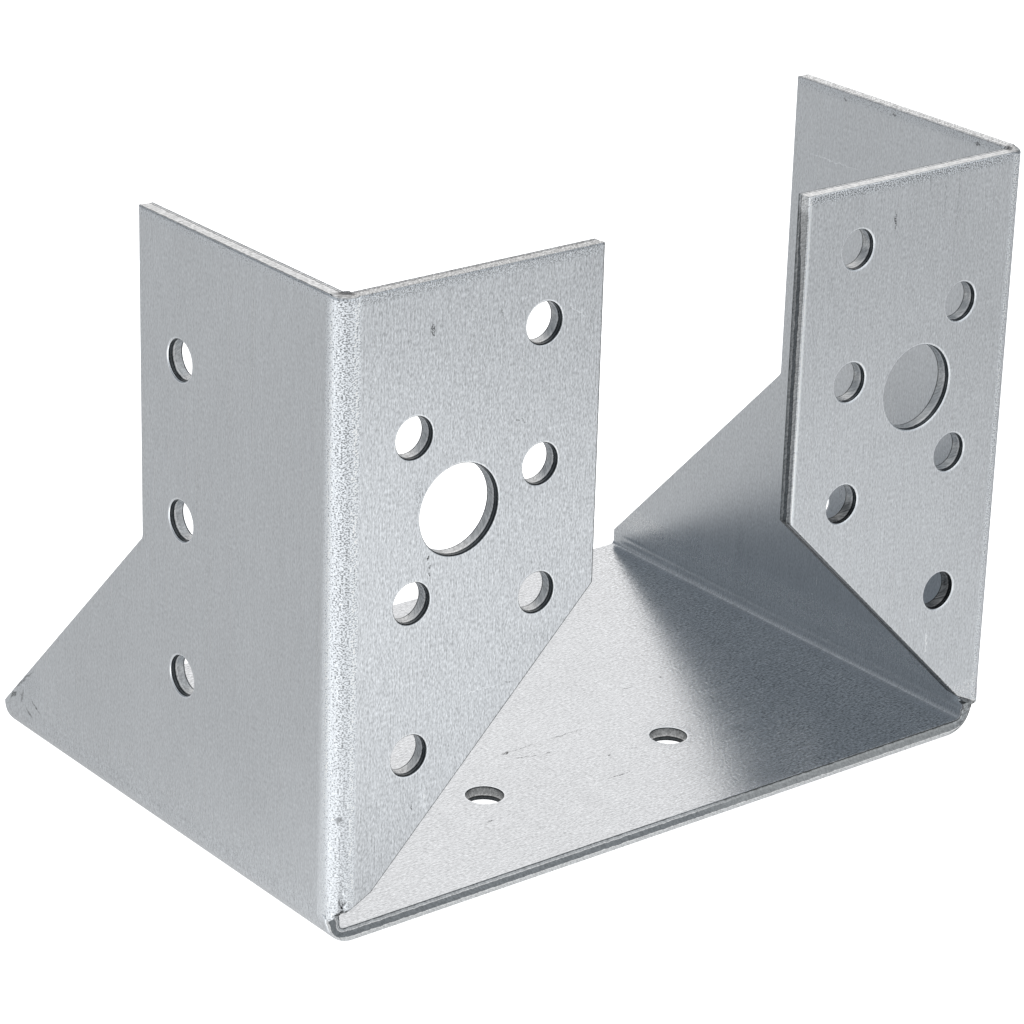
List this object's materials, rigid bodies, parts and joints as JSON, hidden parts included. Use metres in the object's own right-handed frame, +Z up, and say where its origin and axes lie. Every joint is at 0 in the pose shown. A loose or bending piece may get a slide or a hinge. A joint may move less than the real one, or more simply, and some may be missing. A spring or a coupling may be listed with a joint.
{
  "type": "beam hanger",
  "caption": "Beam hanger folded from one galvanised sheet: a seat, two sloped cheeks and two flanges turned inward, with nail and bolt holes.",
  "frame": {"origin": "middle of the underside: centred between the cheeks and between the flanges' face and the seat's rear edge, at the seat's lowest plane", "axes": "+Z up, X across the timber from cheek to cheek, -Y towards the header that the flanges are fastened to"},
  "size_m": [0.104, 0.074, 0.08],
  "materials": {
    "galvanised_sheet": "hot-dip galvanised sheet with a fine rolling grain, matt to satin, with bright sheared edges"
  },
  "bodies": {
    "root": {"hanger": "galvanised_sheet"}
  },
  "joints": []
}
